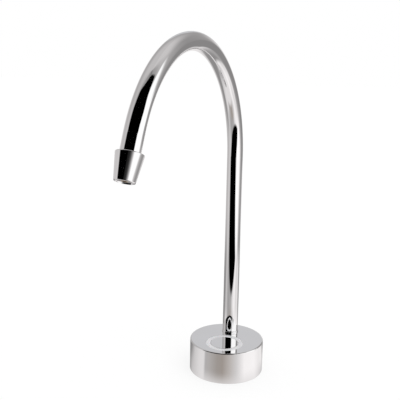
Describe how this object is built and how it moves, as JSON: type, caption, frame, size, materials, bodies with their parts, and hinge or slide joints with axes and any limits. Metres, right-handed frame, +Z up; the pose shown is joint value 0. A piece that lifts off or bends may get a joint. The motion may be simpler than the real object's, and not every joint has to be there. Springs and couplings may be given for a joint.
{
  "type": "automatic gooseneck tap",
  "caption": "Deck-mounted gooseneck tap in chrome: round base with a flush push button, swivelling bent spout, cone-shaped nozzle with a built-in infrared sensor.",
  "frame": {"origin": "centre of the base's underside, on the worktop", "axes": "+Z up out of the worktop, -Y towards the user, +X to the user's right; the spout rests 10 degrees to the left of -Y"},
  "size_m": [0.069, 0.1985, 0.2713],
  "materials": {
    "chrome_plate": "polished mirror chrome on brass",
    "brass": "turned, unplated",
    "steel": "plain stainless",
    "rubber": "matt black",
    "black_plastic": "moulded, fine satin",
    "white_plastic": "moulded, satin",
    "pale_plastic": "milky, moulded and polished",
    "clear_plastic": "translucent",
    "circuit_board": "lacquered board",
    "lead_jacket": "matt cable jacket",
    "sensor_window": "dark red, polished"
  },
  "bodies": {
    "base": {"base_housing": "chrome_plate", "button_ring": "pale_plastic", "mounting_block": "brass", "worktop_seal": "rubber", "housing_screws": "steel", "swivel_bush": "white_plastic", "friction_washer": "white_plastic", "stop_pin": "steel", "button_guide": "white_plastic", "switch_holder": "black_plastic", "switch_board": "circuit_board", "reed_switch": "clear_plastic", "switch_socket": "black_plastic", "return_spring": "steel"},
    "spout": {"spout_tube": "chrome_plate", "foot_ring": "chrome_plate", "spout_spigot": "brass", "spigot_rings": "rubber", "retaining_clip": "steel", "water_hose": "clear_plastic", "sensor_lead": "lead_jacket", "lead_socket": "black_plastic", "nozzle_shell": "chrome_plate", "nozzle_sleeve": "brass", "nozzle_seal": "rubber", "sensor_carrier": "chrome_plate", "sensor_board": "circuit_board", "ir_emitter": "clear_plastic", "ir_receiver": "sensor_window", "emitter_window": "sensor_window", "receiver_window": "sensor_window", "outlet_nipple": "brass", "flow_straightener": "black_plastic", "straightener_screen": "steel"},
    "button": {"button_cap": "chrome_plate", "button_wiper": "rubber", "stem_clip": "steel", "button_magnet": "steel"}
  },
  "joints": [
    {"name": "spout_swivel", "type": "hinge", "parent": "base", "child": "spout", "pos_m": [0, 0.016, 0], "axis": [0, 0, 1], "range_deg": [-50, 70]},
    {"name": "button_press", "type": "slide", "parent": "base", "child": "button", "axis": [0, 0, -1], "range_m": [0, 0.0018], "stiffness_N_per_m": 600, "springref_m": -0.004, "deforming": ["return_spring"]}
  ]
}
